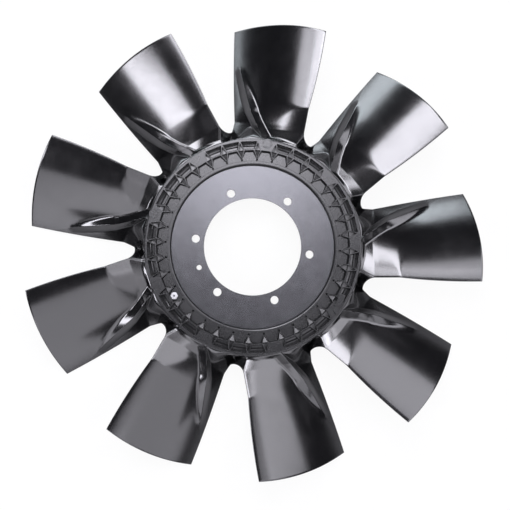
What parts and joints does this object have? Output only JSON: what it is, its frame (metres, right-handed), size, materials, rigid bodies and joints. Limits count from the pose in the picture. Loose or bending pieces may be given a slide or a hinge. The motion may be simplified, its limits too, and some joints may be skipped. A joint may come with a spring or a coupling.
{
  "type": "axial fan impeller",
  "caption": "Axial fan impeller: pitched blades with stiffening fins round a pocketed ring, moulded over a flat steel hub plate with a pilot bore and a bolt circle.",
  "frame": {"origin": "on the fan's axis, at the rear face of the hub plate", "axes": "+Z along the fan's axis towards the inlet side, which the picture shows; +Y is up and +X is right in the picture"},
  "size_m": [0.7023, 0.7039, 0.0813],
  "materials": {
    "blade_plastic": "dark grey glass-filled plastic, glossy on the blades and satin on the ring",
    "plate_steel": "satin cold-rolled steel",
    "rivet_metal": "bright"
  },
  "bodies": {
    "root": {"impeller_moulding": "blade_plastic", "hub_plate": "plate_steel", "balance_rivet": "rivet_metal"}
  },
  "joints": []
}
